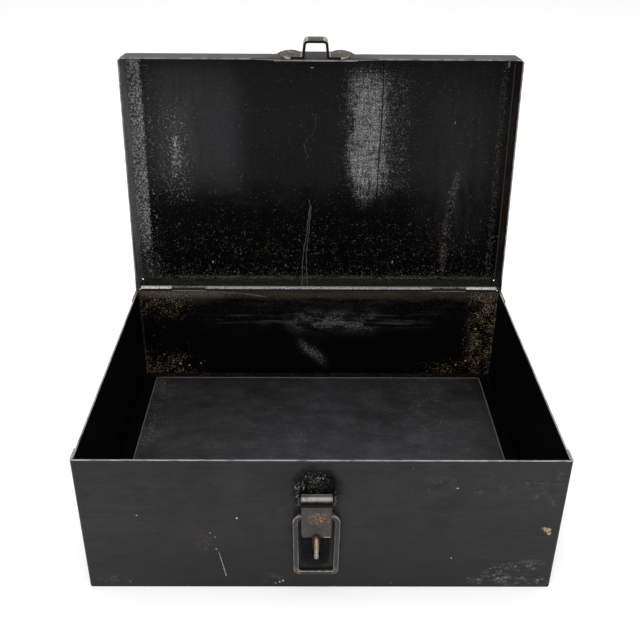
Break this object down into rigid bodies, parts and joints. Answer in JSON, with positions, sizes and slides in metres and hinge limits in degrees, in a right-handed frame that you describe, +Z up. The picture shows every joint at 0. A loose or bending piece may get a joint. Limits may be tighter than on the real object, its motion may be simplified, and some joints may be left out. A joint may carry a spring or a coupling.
{
  "type": "deed box",
  "caption": "Deed box in folded black-painted sheet steel with a hinged lid, a toggle catch with a swinging link, a padlock staple and a looped keeper.",
  "frame": {"origin": "on the surface that the box stands on, at the middle of the width and of the depth taken up by the whole object with its lid open", "axes": "+X to the right as seen from the front, +Y from the catch towards the hinge, +Z up; rest pose has the lid open and the catch hanging"},
  "size_m": [0.356, 0.279, 0.371],
  "materials": {
    "black_paint": "worn satin black paint",
    "pan_paint": "satin black paint",
    "hinge_steel": "dull worn steel",
    "worn_steel": "worn, browned steel",
    "staple_steel": "worn, browned steel",
    "link_steel": "steel with worn dark paint"
  },
  "bodies": {
    "box": {"front_wall": "black_paint", "rear_wall": "black_paint", "left_side_wall": "black_paint", "right_side_wall": "black_paint", "floor_pan": "pan_paint", "hinge_pin": "hinge_steel", "catch_base": "worn_steel", "catch_rivet_left": "worn_steel", "catch_rivet_right": "worn_steel", "catch_rivet_lower": "worn_steel", "padlock_staple": "staple_steel", "lever_pin": "worn_steel"},
    "lid": {"lid_shell": "black_paint", "keeper": "worn_steel", "keeper_rivet_left": "worn_steel", "keeper_rivet_right": "worn_steel"},
    "lever": {"lever": "worn_steel"},
    "link": {"link": "link_steel"}
  },
  "joints": [
    {"name": "lid_hinge", "type": "hinge", "parent": "box", "child": "lid", "pos_m": [0, 0.09694, 0.131], "axis": [1, 0, 0], "range_deg": [0, 95]},
    {"name": "lever_hinge", "type": "hinge", "parent": "box", "child": "lever", "pos_m": [-0.0035, -0.13265, 0.097], "axis": [-1, 0, 0], "range_deg": [0, 90]},
    {"name": "link_hinge", "type": "hinge", "parent": "lever", "child": "link", "pos_m": [-0.0035, -0.13075, 0.0794], "axis": [-1, 0, 0], "range_deg": [0, 105]}
  ]
}
